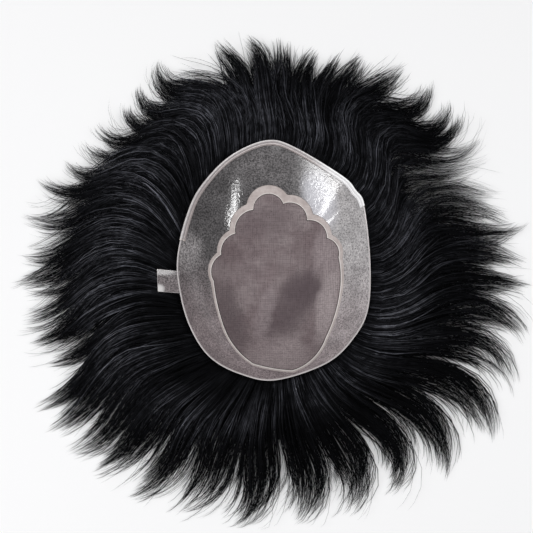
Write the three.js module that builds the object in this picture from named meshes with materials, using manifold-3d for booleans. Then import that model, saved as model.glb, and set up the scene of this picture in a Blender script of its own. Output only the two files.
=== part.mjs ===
// A toupee lying on its hair, scalp side up: a shallow bowl of film and lace with hair all round.
// Millimetres, +Z up. The origin is on the floor under the middle of the base, +Y is the hairline.
import * as THREE from 'three';
import { mergeVertices } from 'three/addons/utils/BufferGeometryUtils.js';
import Module from 'manifold-3d';

const wasm = await Module();
wasm.setup();
const { Manifold, Mesh } = wasm;

// Base, seen from above
const baseWidth = 180;
const baseLength = 224;
const wall = 1;
const gap = 0.3;

// Bowl: the height of its lowest point, and how far the rim stands over that point
const lowHeight = 17;
const riseFront = 32;
const riseSide = 42;
const riseBack = 50;
const steepFront = 2;
const steepSide = 2.3;
const steepBack = 3;
const bowlX = -4;
const bowlY = -19;
const flatRadius = 12;

// Trim of the base
const bandFrontWidth = 8.4;
const bandBackWidth = 2.4;
const bandSwell = 3.3;
const hemWidth = 4.5;
const hemLoft = 0.8;
const hemLeftEnd = 156;
const hemRightEnd = 38;
const tabLength = 19;
const tabWidth = 20.5;
const tabY = -20.5;
const tabDroop = 2;
const tabSeat = 0.6;

// Hair
const hairLength = 170;
const rimDrop = 3;
const skirtFront = 54;
const skirtSide = 84;
const skirtBack = 80;
const lockSink = 4;
const middleHeight = 12;
const middleShare = 0.62;
const tipHeight = 2.5;
const rootWidth = 20;
const lockWidth = 34;
const tipWidth = 3;
const rootShare = 0.96;
const lockStations = 6;
const matColumns = 36;

// Rim of the base, as shares of half its width and half its length, right side first
const rimTable = [
  { x: 0.94, y: 0.45 },
  { x: 1.0, y: -0.01 },
  { x: 0.98, y: -0.4 },
  { x: 0.84, y: -0.64 },
  { x: 0.55, y: -0.86 },
  { x: 0.02, y: -1.0 },
  { x: -0.35, y: -0.95 },
  { x: -0.65, y: -0.82 },
  { x: -0.84, y: -0.61 },
  { x: -0.96, y: -0.33 },
  { x: -1.0, y: 0.02 },
  { x: -0.86, y: 0.46 },
  { x: -0.65, y: 0.72 },
  { x: -0.39, y: 0.9 },
  { x: -0.06, y: 1.0 },
  { x: 0.22, y: 0.94 },
  { x: 0.71, y: 0.7 },
  { x: 0.85, y: 0.58 },
];

// Edge of the lace as arcs, anticlockwise: where each starts, in the same shares, how far it bulges
// as a share of half its chord, and how many columns of facets it takes. Seven are the scallops.
const laceTable = [
  { x: 0.68, y: 0.02, bulge: 0.42, steps: 4 },
  { x: 0.56, y: 0.18, bulge: 0.48, steps: 5 },
  { x: 0.35, y: 0.33, bulge: 0.55, steps: 5 },
  { x: 0.1, y: 0.47, bulge: 0.87, steps: 6 },
  { x: -0.21, y: 0.42, bulge: 0.45, steps: 5 },
  { x: -0.4, y: 0.22, bulge: 0.39, steps: 4 },
  { x: -0.55, y: 0.04, bulge: 0.42, steps: 4 },
  { x: -0.63, y: -0.18, bulge: 0.06, steps: 4 },
  { x: -0.52, y: -0.57, bulge: 0.17, steps: 5 },
  { x: -0.21, y: -0.87, bulge: 0.07, steps: 3 },
  { x: 0.19, y: -0.92, bulge: 0.24, steps: 4 },
  { x: 0.54, y: -0.66, bulge: 0.1, steps: 5 },
  { x: 0.7, y: -0.21, bulge: 0.07, steps: 3 },
];

// Locks of hair: where each roots round the rim, its length as a share, and how far it turns from
// its root's direction as it leaves, a third and two thirds of the way along, and at its tip
const lockTable = [
  { root: 2, length: 0.97, leave: 3, rise: 64, sweep: 6, curl: -30 },
  { root: 10, length: 0.93, leave: 5, rise: 66, sweep: 10, curl: 5 },
  { root: 18, length: 1.0, leave: 6, rise: 66, sweep: -5, curl: 45 },
  { root: 26, length: 0.97, leave: 8, rise: 64, sweep: -14, curl: 20 },
  { root: 34, length: 0.96, leave: 6, rise: 58, sweep: -45, curl: 40 },
  { root: 43, length: 0.79, leave: 4, rise: 50, sweep: -35, curl: 0 },
  { root: 52, length: 0.82, leave: -2, rise: 48, sweep: -12, curl: -5 },
  { root: 60, length: 0.66, leave: -4, rise: 38, sweep: -18, curl: 0 },
  { root: 68, length: 0.63, leave: -8, rise: 34, sweep: -2, curl: -15 },
  { root: 76, length: 0.61, leave: -12, rise: 25, sweep: 5, curl: 0 },
  { root: 84, length: 0.63, leave: -14, rise: 22, sweep: 0, curl: 0 },
  { root: 92, length: 0.62, leave: -14, rise: 12, sweep: 0, curl: 20 },
  { root: 100, length: 0.63, leave: -18, rise: 4, sweep: 20, curl: 5 },
  { root: 108, length: 0.69, leave: -22, rise: 0, sweep: 50, curl: 20 },
  { root: 116, length: 0.84, leave: -26, rise: -6, sweep: 55, curl: -25 },
  { root: 124, length: 0.85, leave: -32, rise: -4, sweep: 52, curl: 0 },
  { root: 131, length: 0.86, leave: -36, rise: 0, sweep: 58, curl: -70 },
  { root: 140, length: 0.88, leave: -40, rise: 4, sweep: 50, curl: 10 },
  { root: 148, length: 0.93, leave: -42, rise: 8, sweep: 42, curl: -15 },
  { root: 156, length: 0.96, leave: -44, rise: 10, sweep: 40, curl: -20 },
  { root: 164, length: 0.98, leave: -44, rise: 10, sweep: 36, curl: -20 },
  { root: 172, length: 1.0, leave: -42, rise: 8, sweep: 34, curl: -15 },
  { root: 180, length: 0.93, leave: -38, rise: 6, sweep: 28, curl: -10 },
  { root: 188, length: 1.0, leave: -36, rise: 2, sweep: 28, curl: 0 },
  { root: 196, length: 1.0, leave: -36, rise: 0, sweep: 26, curl: 0 },
  { root: 204, length: 0.96, leave: -36, rise: -4, sweep: 28, curl: 0 },
  { root: 212, length: 0.95, leave: -36, rise: -10, sweep: 30, curl: 5 },
  { root: 220, length: 0.96, leave: -36, rise: -12, sweep: 16, curl: 0 },
  { root: 228, length: 0.91, leave: -30, rise: -10, sweep: 6, curl: -10 },
  { root: 236, length: 0.87, leave: -24, rise: -10, sweep: 2, curl: -20 },
  { root: 244, length: 0.84, leave: -18, rise: -8, sweep: 2, curl: -25 },
  { root: 252, length: 0.81, leave: -12, rise: -5, sweep: 2, curl: -25 },
  { root: 260, length: 0.81, leave: -8, rise: 0, sweep: 4, curl: -30 },
  { root: 268, length: 0.8, leave: -3, rise: 3, sweep: 2, curl: -30 },
  { root: 276, length: 0.8, leave: 2, rise: 8, sweep: 4, curl: -35 },
  { root: 284, length: 0.81, leave: 6, rise: 12, sweep: 4, curl: -45 },
  { root: 292, length: 0.84, leave: 8, rise: 18, sweep: 4, curl: -50 },
  { root: 300, length: 0.84, leave: 12, rise: 26, sweep: 0, curl: -55 },
  { root: 308, length: 0.87, leave: 16, rise: 36, sweep: 0, curl: -60 },
  { root: 316, length: 0.93, leave: 18, rise: 46, sweep: 0, curl: -60 },
  { root: 324, length: 0.94, leave: 18, rise: 54, sweep: -4, curl: -50 },
  { root: 332, length: 0.97, leave: 16, rise: 60, sweep: -4, curl: -40 },
  { root: 340, length: 0.98, leave: 12, rise: 62, sweep: 0, curl: -40 },
  { root: 347, length: 1.0, leave: 9, rise: 62, sweep: 2, curl: 20 },
  { root: 355, length: 0.99, leave: 4, rise: 64, sweep: 4, curl: -12 },
];

// Slope of the mat outside the rim, as shares of its width there and of its height at the rim
const skirtTable = [
  { out: 0.3, up: 0.72 },
  { out: 0.65, up: 0.33 },
  { out: 1, up: 0.08 },
];

// Section of a lock, anticlockwise looking back along it, as shares of its width and height
const lockSection = [
  { aside: 0.5, up: 0 },
  { aside: 0.25, up: 1 },
  { aside: -0.25, up: 1 },
  { aside: -0.5, up: 0 },
];

const radians = (degrees) => THREE.MathUtils.degToRad(degrees);
const fullTurn = 2 * Math.PI;
const turned = (angle) => ((angle % fullTurn) + fullTurn) % fullTurn;

// Outlines, as dense closed lists of points
function onBase({ x, y }) {
  return new THREE.Vector2((x * baseWidth) / 2, (y * baseLength) / 2);
}

function rimOutline() {
  const corners = rimTable.map((row) => new THREE.Vector3(onBase(row).x, onBase(row).y, 0));
  return new THREE.CatmullRomCurve3(corners, true).getSpacedPoints(480);
}

function laceOutline() {
  const spacing = 0.25;
  return laceTable.flatMap((row, index) => {
    const start = onBase(row);
    const end = onBase(laceTable[(index + 1) % laceTable.length]);
    const half = start.distanceTo(end) / 2;
    const radius = (half * (1 + row.bulge ** 2)) / (2 * row.bulge);
    const sweep = 4 * Math.atan(row.bulge);
    const along = end.clone().sub(start).normalize();
    const outward = new THREE.Vector2(along.y, -along.x);
    const middle = start.clone().add(end).multiplyScalar(0.5);
    const centre = middle.addScaledVector(outward, row.bulge * half - radius);
    const from = Math.atan2(start.y - centre.y, start.x - centre.x);
    const count = Math.ceil((sweep * radius) / spacing);
    return Array.from({ length: count }, (_, step) => {
      const angle = from + (sweep * step) / count;
      return new THREE.Vector2(centre.x + radius * Math.cos(angle), centre.y + radius * Math.sin(angle));
    });
  });
}

// Radius of a closed outline about a centre, as a function of the angle
function radiusAbout(outline, centreX, centreY) {
  const spokes = outline.map((point) => ({
    angle: turned(Math.atan2(point.y - centreY, point.x - centreX)),
    radius: Math.hypot(point.x - centreX, point.y - centreY),
  }));
  spokes.sort((one, two) => one.angle - two.angle);
  return (angle) => {
    const wanted = turned(angle);
    const found = spokes.findIndex((spoke) => spoke.angle > wanted);
    const after = spokes[found < 0 ? 0 : found];
    const before = spokes[(found < 0 ? spokes.length : found || spokes.length) - 1];
    const span = turned(after.angle - before.angle) || 1;
    return before.radius + ((after.radius - before.radius) * turned(wanted - before.angle)) / span;
  };
}

// Radius of the outline grown by a margin that may differ from point to point
function grownRadius(outline, margin) {
  return (angle) => {
    const reaches = outline.map((point) => {
      const x = point.x - bowlX;
      const y = point.y - bowlY;
      const aside = x * Math.sin(angle) - y * Math.cos(angle);
      const grown = margin(point);
      if (Math.abs(aside) > grown) return 0;
      return x * Math.cos(angle) + y * Math.sin(angle) + Math.sqrt(grown ** 2 - aside ** 2);
    });
    return Math.max(...reaches);
  };
}

const rim = rimOutline();
const lace = laceOutline();
const rimRadius = radiusAbout(rim, bowlX, bowlY);
const rimReach = radiusAbout(rim, 0, 0);
const laceRadius = radiusAbout(lace, bowlX, bowlY);
const laceFront = Math.max(...lace.map((point) => point.y));

function bandWidth(point) {
  const share = (point.y + baseLength / 2) / (laceFront + baseLength / 2);
  return bandBackWidth + (bandFrontWidth - bandBackWidth) * share ** bandSwell;
}

const bandInner = grownRadius(lace, () => gap);
const bandOuter = grownRadius(lace, (point) => gap + bandWidth(point));
const filmInner = grownRadius(lace, (point) => 2 * gap + bandWidth(point));

// The bowl that every sheet follows
function sideBlend(front, side, back, angle) {
  const lift = Math.sin(angle);
  return side + (lift > 0 ? front - side : back - side) * lift ** 2;
}

function bowlShape(angle, radius) {
  const steep = sideBlend(steepFront, steepSide, steepBack, angle);
  const rise = sideBlend(riseFront, riseSide, riseBack, angle);
  const run = rimRadius(angle) - flatRadius;
  const share = Math.max(0, radius - flatRadius) / run;
  return { height: lowHeight + rise * share ** steep, slope: (rise * steep * share ** (steep - 1)) / run };
}

const scalpSide = (angle, radius) => bowlShape(angle, radius).height;

function below(thickness) {
  return (angle, radius) => {
    const { height, slope } = bowlShape(angle, radius);
    return height - thickness * Math.hypot(1, slope);
  };
}

const hairSide = below(wall);
const rimHeight = (angle) => scalpSide(angle, rimRadius(angle));

// Columns of facets, with one on each end of an arc of the lace
const columns = laceTable.flatMap((row, index) => {
  const start = onBase(row);
  const end = onBase(laceTable[(index + 1) % laceTable.length]);
  const from = turned(Math.atan2(start.y - bowlY, start.x - bowlX));
  const span = turned(Math.atan2(end.y - bowlY, end.x - bowlX) - from);
  return Array.from({ length: row.steps }, (_, step) => from + (span * step) / row.steps);
});

// Closed meshes
function closedMesh(points, quads) {
  const geometry = new THREE.BufferGeometry();
  const corners = quads.flatMap(([a, b, c, d]) => [a, b, c, a, c, d]);
  geometry.setAttribute('position', new THREE.Float32BufferAttribute(points.flat(), 3));
  geometry.setIndex(corners);
  const merged = mergeVertices(geometry, 1e-4);
  const kept = [];
  for (let face = 0; face < merged.index.count; face += 3) {
    const [a, b, c] = [0, 1, 2].map((corner) => merged.index.getX(face + corner));
    if (a !== b && b !== c && c !== a) kept.push(a, b, c);
  }
  merged.setIndex(kept);
  return merged;
}

// A sheet over rings round the bowl's lowest point, between a lower and an upper surface
function sheet({ angles, rings, upper, lower, whole = true }) {
  const points = [];
  const quads = [];
  const at = (column, ring, under) => 2 * ((column % angles.length) * rings.length + ring) + under;
  for (const angle of angles) {
    for (const ring of rings) {
      const radius = ring(angle);
      const x = bowlX + radius * Math.cos(angle);
      const y = bowlY + radius * Math.sin(angle);
      points.push([x, y, upper(angle, radius)], [x, y, lower(angle, radius)]);
    }
  }
  const last = rings.length - 1;
  const spans = whole ? angles.length : angles.length - 1;
  for (let here = 0; here < spans; here += 1) {
    const next = here + 1;
    for (let ring = 0; ring < last; ring += 1) {
      quads.push([at(here, ring, 0), at(here, ring + 1, 0), at(next, ring + 1, 0), at(next, ring, 0)]);
      quads.push([at(here, ring, 1), at(next, ring, 1), at(next, ring + 1, 1), at(here, ring + 1, 1)]);
    }
    quads.push([at(here, last, 1), at(next, last, 1), at(next, last, 0), at(here, last, 0)]);
    quads.push([at(here, 0, 0), at(next, 0, 0), at(next, 0, 1), at(here, 0, 1)]);
  }
  if (!whole) {
    for (let ring = 0; ring < last; ring += 1) {
      quads.push([at(0, ring, 1), at(0, ring + 1, 1), at(0, ring + 1, 0), at(0, ring, 0)]);
      quads.push([at(spans, ring, 0), at(spans, ring + 1, 0), at(spans, ring + 1, 1), at(spans, ring, 1)]);
    }
  }
  return closedMesh(points, quads);
}

// Joining and cutting
function toSolid(geometry) {
  const vertProperties = new Float32Array(geometry.attributes.position.array);
  const triVerts = new Uint32Array(geometry.index.array);
  return new Manifold(new Mesh({ numProp: 3, vertProperties, triVerts }));
}

function toGeometry(solid) {
  const { vertProperties, triVerts } = solid.getMesh();
  const geometry = new THREE.BufferGeometry();
  geometry.setAttribute('position', new THREE.Float32BufferAttribute(vertProperties, 3));
  geometry.setIndex(Array.from(triVerts));
  return geometry;
}

const between = (inner, outer, share) => (angle) => inner(angle) + (outer(angle) - inner(angle)) * share;
const centreOf = () => 0;
const flatEdge = () => flatRadius;
const hemInner = (angle) => rimRadius(angle) - hemWidth;
const openTop = () => 2 * (lowHeight + riseBack);

const laceRings = [centreOf, flatEdge, between(flatEdge, laceRadius, 0.4), between(flatEdge, laceRadius, 0.72), laceRadius];
const bandRings = [bandInner, bandOuter];
const filmRings = [filmInner, between(filmInner, hemInner, 0.5), hemInner, rimRadius];

function laceCentre() {
  return sheet({ angles: columns, rings: laceRings, upper: scalpSide, lower: hairSide });
}

function scallopBand() {
  return sheet({ angles: columns, rings: bandRings, upper: scalpSide, lower: hairSide });
}

// Folded hem along the front edge
function hemAngles(margin) {
  const ends = [radians(hemRightEnd) - margin, radians(hemLeftEnd) + margin];
  const inside = columns.filter((angle) => angle > ends[0] + 0.01 && angle < ends[1] - 0.01);
  return [ends[0], ...inside, ends[1]];
}

function frontHem() {
  const crown = between(hemInner, rimRadius, 0.5);
  const loft = (angle, radius) => {
    const share = (radius - hemInner(angle)) / hemWidth;
    return scalpSide(angle, radius) + hemLoft * Math.sin(Math.PI * share);
  };
  const rings = [hemInner, crown, rimRadius];
  return sheet({ angles: hemAngles(0), rings, upper: loft, lower: hairSide, whole: false });
}

function hemRoom() {
  const rings = [(angle) => hemInner(angle) - gap, (angle) => rimRadius(angle) + wall];
  const ends = hemAngles(gap / rimRadius(radians(hemLeftEnd)));
  return sheet({ angles: ends, rings, upper: openTop, lower: centreOf, whole: false });
}

// Tape tab on the left edge of the film, lying out over the hair
function tabSheet(margin, upper, thickness) {
  const half = tabWidth / 2 + margin;
  const middle = tabY - bowlY;
  const left = rimRadius(Math.PI);
  const edgeAngle = (offset) => Math.PI - Math.asin((middle + offset) / left);
  const angles = [half, half / 3, -half / 3, -half].map(edgeAngle);
  const seat = (angle) => rimRadius(angle) - tabSeat - margin;
  const end = (angle) => (left + tabLength + margin) / -Math.cos(angle);
  const droop = (angle, radius) => {
    const share = (radius - rimRadius(angle)) / tabLength;
    return rimHeight(Math.PI) - wall / 2 - tabDroop * Math.max(0, share) + upper;
  };
  return sheet({
    angles,
    rings: [seat, between(seat, end, 0.5), end],
    upper: droop,
    lower: (angle, radius) => droop(angle, radius) - thickness,
    whole: false,
  });
}

function filmPerimeter() {
  const ring = sheet({ angles: columns, rings: filmRings, upper: scalpSide, lower: hairSide });
  const tab = tabSheet(0, 0, wall);
  return toGeometry(toSolid(ring).add(toSolid(tab)).subtract(toSolid(hemRoom())));
}

// Hair: a pressed mat under the base, and locks that lie out from its rim
function headingAlong({ leave, rise, sweep, curl }, share) {
  const turns = [2 * leave - rise, leave, rise, sweep, curl, 2 * curl - sweep];
  const part = Math.min(Math.floor(share * 3), 2);
  const rest = share * 3 - part;
  const [a, b, c, d] = turns.slice(part, part + 4);
  const bend = (-a + c) * rest + (2 * a - 5 * b + 4 * c - d) * rest ** 2 + (-a + 3 * b - 3 * c + d) * rest ** 3;
  return b + bend / 2;
}

function lockStationsOf(row) {
  const fineness = 4;
  const steps = lockStations * fineness;
  const stride = (row.length * hairLength) / steps;
  const root = radians(row.root);
  const place = new THREE.Vector2(Math.cos(root), Math.sin(root)).multiplyScalar(rootShare * rimReach(root));
  const stations = [];
  for (let step = 0; step <= steps; step += 1) {
    const heading = root + radians(headingAlong(row, step / steps));
    if (step % fineness === 0) stations.push({ place: place.clone(), heading, share: step / steps });
    place.add(new THREE.Vector2(Math.cos(heading), Math.sin(heading)).multiplyScalar(stride));
  }
  return stations;
}

function lock(row) {
  const stations = lockStationsOf(row);
  const start = stations[0].place;
  const rootHeight = rimHeight(Math.atan2(start.y - bowlY, start.x - bowlX)) - rimDrop - lockSink;
  const fade = (share) => THREE.MathUtils.smoothstep(share, 0, middleShare);
  const points = stations.flatMap(({ place, heading, share }) => {
    const outer = Math.max(0, share - middleShare) / (1 - middleShare);
    const height = share < middleShare
      ? rootHeight + (middleHeight - rootHeight) * fade(share)
      : middleHeight + (tipHeight - middleHeight) * outer;
    const width = share < middleShare
      ? rootWidth + (lockWidth - rootWidth) * fade(share)
      : lockWidth + (tipWidth - lockWidth) * outer ** 1.5;
    return lockSection.map(({ aside, up }) => [
      place.x - Math.sin(heading) * aside * width,
      place.y + Math.cos(heading) * aside * width,
      up * height,
    ]);
  });
  const sides = lockSection.length;
  const quads = [];
  for (let station = 0; station < stations.length - 1; station += 1) {
    for (let side = 0; side < sides; side += 1) {
      const here = station * sides;
      const next = (side + 1) % sides;
      quads.push([here + side, here + next, here + sides + next, here + sides + side]);
    }
  }
  const end = points.length - sides;
  quads.push([3, 2, 1, 0], [end, end + 1, end + 2, end + 3]);
  return closedMesh(points, quads);
}

function mat() {
  const angles = Array.from({ length: matColumns }, (_, step) => (fullTurn * step) / matColumns);
  const skirt = (angle) => sideBlend(skirtFront, skirtSide, skirtBack, angle);
  const inner = [centreOf, ...[0.3, 0.55, 0.75, 0.9].map((share) => between(centreOf, rimRadius, share))];
  const outer = skirtTable.map(({ out }) => (angle) => rimRadius(angle) + out * skirt(angle));
  const upper = (angle, radius) => {
    const out = (radius - rimRadius(angle)) / skirt(angle);
    if (out < -0.01) return scalpSide(angle, radius) + wall;
    const slope = skirtTable.find((row) => row.out > out - 0.01 && out > 0.01) ?? { up: 1 };
    return (rimHeight(angle) - rimDrop) * slope.up;
  };
  return sheet({ angles, rings: [...inner, rimRadius, ...outer], upper, lower: centreOf });
}

function baseRoom() {
  const edge = (angle) => rimRadius(angle) + gap;
  const rings = [...laceRings, ...bandRings, ...filmRings, edge];
  return sheet({ angles: columns, rings, upper: openTop, lower: below(wall + gap) });
}

function hair() {
  const locks = lockTable.map((row) => toSolid(lock(row)));
  const whole = Manifold.union([toSolid(mat()), ...locks]);
  const tabRoom = tabSheet(gap, openTop(), openTop() + wall + gap);
  return toGeometry(whole.subtract(toSolid(baseRoom())).subtract(toSolid(tabRoom)));
}

function piece(name, geometry, color, roughness) {
  const mesh = new THREE.Mesh(geometry, new THREE.MeshStandardMaterial({ color, roughness, metalness: 0 }));
  mesh.name = name;
  return mesh;
}

const toupee = new THREE.Group();
toupee.add(
  piece('film_perimeter', filmPerimeter(), 0x9b989b, 0.25),
  piece('scallop_band', scallopBand(), 0xcdbeb6, 0.6),
  piece('lace_center', laceCentre(), 0x8f8488, 0.8),
  piece('front_hem', frontHem(), 0xd9d5d3, 0.35),
  piece('hair', hair(), 0x17161a, 0.45),
);

export default toupee;
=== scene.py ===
import math

import bmesh
import bpy
import numpy as np
from mathutils import Matrix, Vector


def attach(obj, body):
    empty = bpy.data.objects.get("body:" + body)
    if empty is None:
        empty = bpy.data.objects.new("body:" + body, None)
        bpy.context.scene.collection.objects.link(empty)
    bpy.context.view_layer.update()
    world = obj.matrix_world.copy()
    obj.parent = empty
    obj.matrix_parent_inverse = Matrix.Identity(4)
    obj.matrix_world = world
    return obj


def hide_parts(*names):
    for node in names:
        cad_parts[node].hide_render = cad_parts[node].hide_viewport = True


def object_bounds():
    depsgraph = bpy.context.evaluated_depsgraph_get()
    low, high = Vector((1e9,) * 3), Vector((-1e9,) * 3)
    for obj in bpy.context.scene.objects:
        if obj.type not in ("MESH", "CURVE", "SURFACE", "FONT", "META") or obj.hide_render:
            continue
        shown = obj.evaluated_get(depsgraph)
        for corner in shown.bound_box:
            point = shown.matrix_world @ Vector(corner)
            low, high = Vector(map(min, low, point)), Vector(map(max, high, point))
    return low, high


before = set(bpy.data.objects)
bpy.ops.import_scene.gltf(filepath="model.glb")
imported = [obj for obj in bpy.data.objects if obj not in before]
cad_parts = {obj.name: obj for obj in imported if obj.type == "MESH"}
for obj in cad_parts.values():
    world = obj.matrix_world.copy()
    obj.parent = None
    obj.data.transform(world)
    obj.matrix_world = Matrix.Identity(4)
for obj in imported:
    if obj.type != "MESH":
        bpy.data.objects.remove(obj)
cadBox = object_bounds()
mm = 0.001
rng = np.random.default_rng(8)
print("frame loaded:", sorted(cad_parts))


# camera, straight above the base as in the photograph
camera = {"height": 1.5, "x": -6.8 * mm, "y": -6.6 * mm, "floorWidth": 517 * mm, "sensor": 36}


def addCamera():
    bpy.ops.object.camera_add(location=(camera["x"], camera["y"], camera["height"]), rotation=(0, 0, 0))
    cam = bpy.context.object
    cam.data.sensor_width = camera["sensor"]
    cam.data.lens = camera["sensor"] * camera["height"] / camera["floorWidth"]
    bpy.context.scene.camera = cam


addCamera()
print("camera placed")


# small helpers
def selectOnly(*pieces):
    bpy.ops.object.select_all(action="DESELECT")
    for piece in pieces:
        piece.select_set(True)
    bpy.context.view_layer.objects.active = pieces[0]


def smoothStep(share):
    share = np.clip(share, 0, 1)
    return share * share * (3 - 2 * share)


def newMesh(name, points, faces, values=None):
    mesh = bpy.data.meshes.new(name)
    mesh.from_pydata([tuple(p) for p in points], [], faces)
    for key, numbers in (values or {}).items():
        layer = mesh.attributes.new(key, "FLOAT", "POINT")
        layer.data.foreach_set("value", np.ascontiguousarray(np.ravel(numbers), dtype=np.float32))
    mesh.update()
    piece = bpy.data.objects.new(name, mesh)
    bpy.context.collection.objects.link(piece)
    return piece


def mergeClose(piece, reach=0.01 * mm):
    shape = bmesh.new()
    shape.from_mesh(piece.data)
    bmesh.ops.remove_doubles(shape, verts=shape.verts, dist=reach)
    bmesh.ops.recalc_face_normals(shape, faces=shape.faces)
    shape.to_mesh(piece.data)
    shape.free()


def applyModifiers(piece):
    selectOnly(piece)
    for modifier in list(piece.modifiers):
        bpy.ops.object.modifier_apply(modifier=modifier.name)


def thicken(piece, thickness):
    solidify = piece.modifiers.new("Wall", "SOLIDIFY")
    solidify.thickness = thickness
    solidify.offset = -1
    solidify.use_even_offset = False
    applyModifiers(piece)


def join(name, pieces):
    selectOnly(*pieces)
    bpy.ops.object.join()
    pieces[0].name = name
    return pieces[0]


# outlines of the base, as shares of half its width and half its length
base = {"width": 180 * mm, "length": 224 * mm, "wall": 1 * mm, "gap": 0.3 * mm}
bowl = {
    "low": 17 * mm, "x": -4 * mm, "y": -19 * mm, "flat": 12 * mm,
    "rise": (32 * mm, 42 * mm, 50 * mm),  # front, side, back
    "steep": (2, 2.3, 3),
}
rimTable = [
    (0.94, 0.45), (1.0, -0.01), (0.98, -0.4), (0.84, -0.64), (0.55, -0.86), (0.02, -1.0),
    (-0.35, -0.95), (-0.65, -0.82), (-0.84, -0.61), (-0.96, -0.33), (-1.0, 0.02), (-0.86, 0.46),
    (-0.65, 0.72), (-0.39, 0.9), (-0.06, 1.0), (0.22, 0.94), (0.71, 0.7), (0.85, 0.58),
]
laceTable = [  # where each arc starts, and its bulge
    (0.68, 0.02, 0.42), (0.56, 0.18, 0.48), (0.35, 0.33, 0.55), (0.1, 0.47, 0.87), (-0.21, 0.42, 0.45),
    (-0.4, 0.22, 0.39), (-0.55, 0.04, 0.42), (-0.63, -0.18, 0.06), (-0.52, -0.57, 0.17),
    (-0.21, -0.87, 0.07), (0.19, -0.92, 0.24), (0.54, -0.66, 0.1), (0.7, -0.21, 0.07),
]


def onBase(rows):
    return np.array([row[:2] for row in rows]) * [base["width"] / 2, base["length"] / 2]


def rimOutline(fineness=24):
    corners = onBase(rimTable)
    before, after, beyond = np.roll(corners, 1, 0), np.roll(corners, -1, 0), np.roll(corners, -2, 0)
    spans = []
    for u in np.arange(fineness) / fineness:
        bend = (after - before) * u + (2 * before - 5 * corners + 4 * after - beyond) * u**2
        spans.append(corners + (bend + (3 * corners - before - 3 * after + beyond) * u**3) / 2)
    return np.stack(spans, 1).reshape(-1, 2)


def laceOutline(spacing=0.2 * mm):
    corners = onBase(laceTable)
    points = []
    for start, end, row in zip(corners, np.roll(corners, -1, 0), laceTable):
        bulge = row[2]
        half = np.linalg.norm(end - start) / 2
        radius = half * (1 + bulge**2) / (2 * bulge)
        sweep = 4 * math.atan(bulge)
        along = (end - start) / (2 * half)
        centre = (start + end) / 2 + np.array([along[1], -along[0]]) * (bulge * half - radius)
        begin = math.atan2(*(start - centre)[::-1])
        angles = begin + sweep * np.arange(0, 1, spacing / (sweep * radius))
        points.append(centre + radius * np.stack([np.cos(angles), np.sin(angles)], 1))
    return np.concatenate(points)


def radiusAbout(outline, centre):
    offset = outline - centre
    turn = 2 * math.pi
    angles = np.arctan2(offset[:, 1], offset[:, 0]) % turn
    order = np.argsort(angles)
    radii = np.linalg.norm(offset, axis=1)[order]
    return lambda angle: np.interp(np.asarray(angle) % turn, angles[order], radii, period=turn)


def grownRadius(outline, margin, angles):
    offset = outline - [bowl["x"], bowl["y"]]
    aside = offset[:, :1] * np.sin(angles) - offset[:, 1:] * np.cos(angles)
    along = offset[:, :1] * np.cos(angles) + offset[:, 1:] * np.sin(angles)
    margin = np.broadcast_to(margin, len(outline))[:, None]
    reach = np.where(np.abs(aside) < margin, along + np.sqrt(np.maximum(margin**2 - aside**2, 0)), 0)
    return reach.max(0)


bowlCentre = np.array([bowl["x"], bowl["y"]])
rimPoints = rimOutline()
lacePoints = laceOutline()
rimRadius = radiusAbout(rimPoints, bowlCentre)
rimReach = radiusAbout(rimPoints, np.zeros(2))
laceRadius = radiusAbout(lacePoints, bowlCentre)


def blendSides(values, angle):
    front, side, back = values
    lift = np.sin(angle)
    return side + np.where(lift > 0, front - side, back - side) * lift**2


def bowlHeight(angle, radius):
    run = rimRadius(angle) - bowl["flat"]
    share = np.maximum(radius - bowl["flat"], 0) / run
    return bowl["low"] + blendSides(bowl["rise"], angle) * share ** blendSides(bowl["steep"], angle)


# a sheet over rings round the bowl's lowest point, with its wall underneath
def ringSheet(name, angles, radii, lift, values, whole=True):
    height = bowlHeight(angles, radii) + lift
    x = bowl["x"] + radii * np.cos(angles)
    y = bowl["y"] + radii * np.sin(angles)
    points = np.stack([x, y, height], -1).reshape(-1, 3)
    rings, columns = radii.shape
    faces = []
    for ring in range(rings - 1):
        inner, outer = ring * columns, (ring + 1) * columns
        for here in range(columns if whole else columns - 1):
            there = (here + 1) % columns
            faces.append((inner + here, outer + here, outer + there, inner + there))
    piece = newMesh(name, points, faces, values)
    mergeClose(piece)
    thicken(piece, base["wall"])
    return piece


def finishSheet(piece, material, node):
    piece.data.materials.clear()
    piece.data.materials.append(material)
    selectOnly(piece)
    bpy.ops.object.shade_smooth_by_angle(angle=math.radians(40))
    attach(piece, "root")
    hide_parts(node)


hem = {"width": 4.5 * mm, "notch": 2.2 * mm, "left": math.radians(156), "right": math.radians(38)}
cusps = np.arctan2(*(onBase(laceTable) - bowlCentre).T[::-1]) % (2 * math.pi)
hemMargin = base["gap"] / rimRadius(hem["left"])
hemSteps = [hem["right"] - hemMargin - 1e-4, hem["right"] - hemMargin + 1e-4]
hemSteps += [hem["left"] + hemMargin - 1e-4, hem["left"] + hemMargin + 1e-4]
allAngles = np.sort(np.concatenate([np.arange(600) * 2 * math.pi / 600, cusps, hemSteps]))
print("outlines ready")


# node helpers
def addNode(tree, kind, inputs=None, **settings):
    node = tree.nodes.new(kind)
    for key, value in settings.items():
        setattr(node, key, value)
    for key, value in (inputs or {}).items():
        if isinstance(value, bpy.types.NodeSocket):
            tree.links.new(value, node.inputs[key])
        else:
            node.inputs[key].default_value = value
    return node


def mathNode(tree, operation, first, second=0.0):
    return addNode(tree, "ShaderNodeMath", {0: first, 1: second}, operation=operation).outputs[0]


def rangeNode(tree, value, low, high, start=0.0, end=1.0):
    inputs = {"Value": value, "From Min": low, "From Max": high, "To Min": start, "To Max": end}
    return addNode(tree, "ShaderNodeMapRange", inputs, interpolation_type="SMOOTHSTEP").outputs["Result"]


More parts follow.
